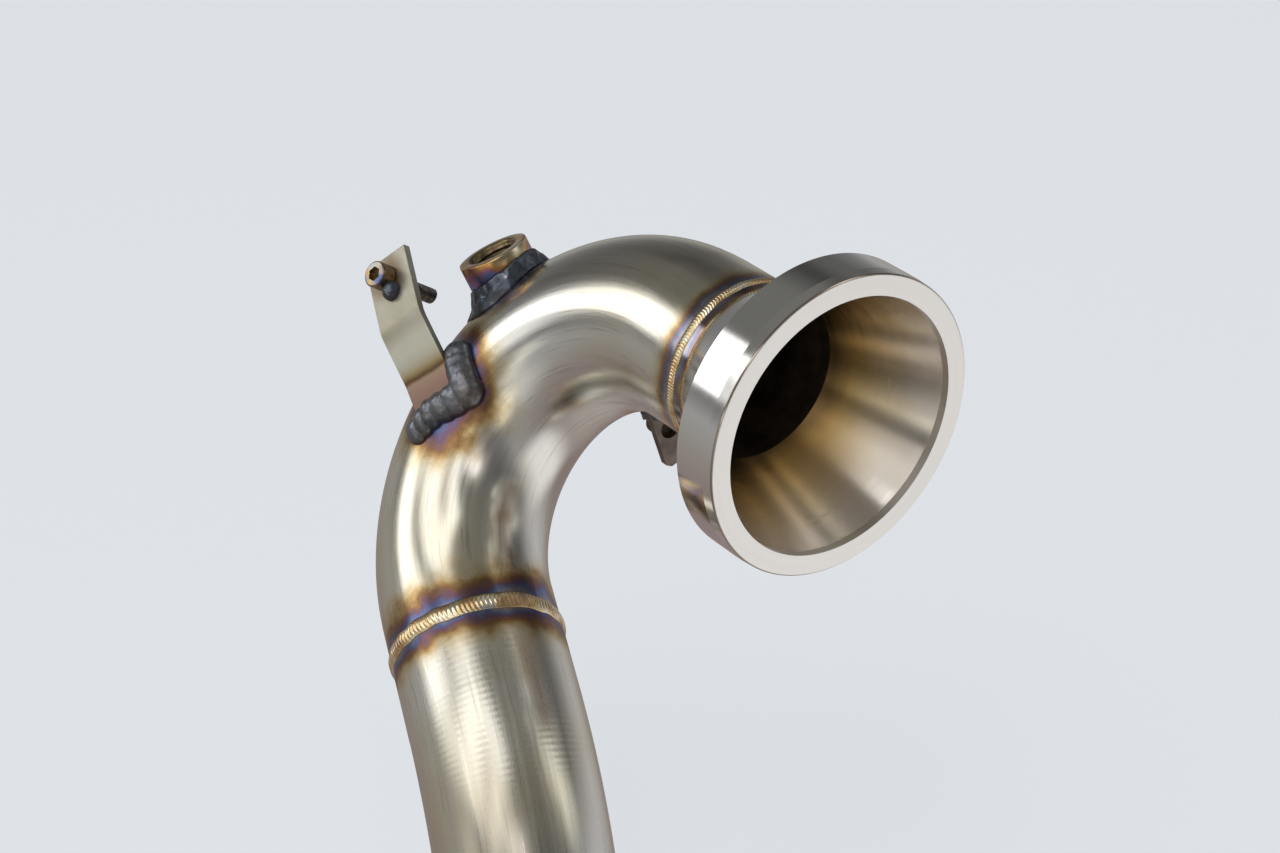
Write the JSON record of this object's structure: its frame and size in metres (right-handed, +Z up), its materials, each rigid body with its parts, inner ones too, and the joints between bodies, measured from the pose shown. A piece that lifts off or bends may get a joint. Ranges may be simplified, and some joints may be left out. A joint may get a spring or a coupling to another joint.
{
  "type": "turbo downpipe",
  "caption": "Stainless exhaust downpipe from a turbocharger: turned cone flange, mandrel-bent elbow, lower pipe, sensor boss and welded brackets.",
  "frame": {"origin": "centre of the flange's front face, on the flange axis", "axes": "-Y points out of the flange's mouth, towards the turbocharger; +Z is up, opposite to the outlet's direction; +X is the side away from the lower pipe"},
  "size_m": [0.1976, 0.2096, 0.2943],
  "materials": {
    "tube_steel": "satin brushed",
    "turned_steel": "lathe turned, bright",
    "butt_weld": "straw and blue tinted weld bead",
    "dark_weld": "blue-grey oxidised weld metal",
    "heat_tinted": "heat tinted, satin",
    "screw_steel": "bright with heat tint"
  },
  "bodies": {
    "root": {"turbo_flange": "turned_steel", "flange_weld": "butt_weld", "elbow": "tube_steel", "joint_weld": "butt_weld", "lower_pipe": "tube_steel", "sensor_boss": "heat_tinted", "boss_weld": "dark_weld", "hanger_strap": "tube_steel", "strap_weld": "dark_weld", "strap_screw": "screw_steel", "screw_tack_weld": "dark_weld", "rear_bracket": "tube_steel", "rear_nut": "tube_steel", "rear_bracket_weld": "dark_weld"}
  },
  "joints": []
}
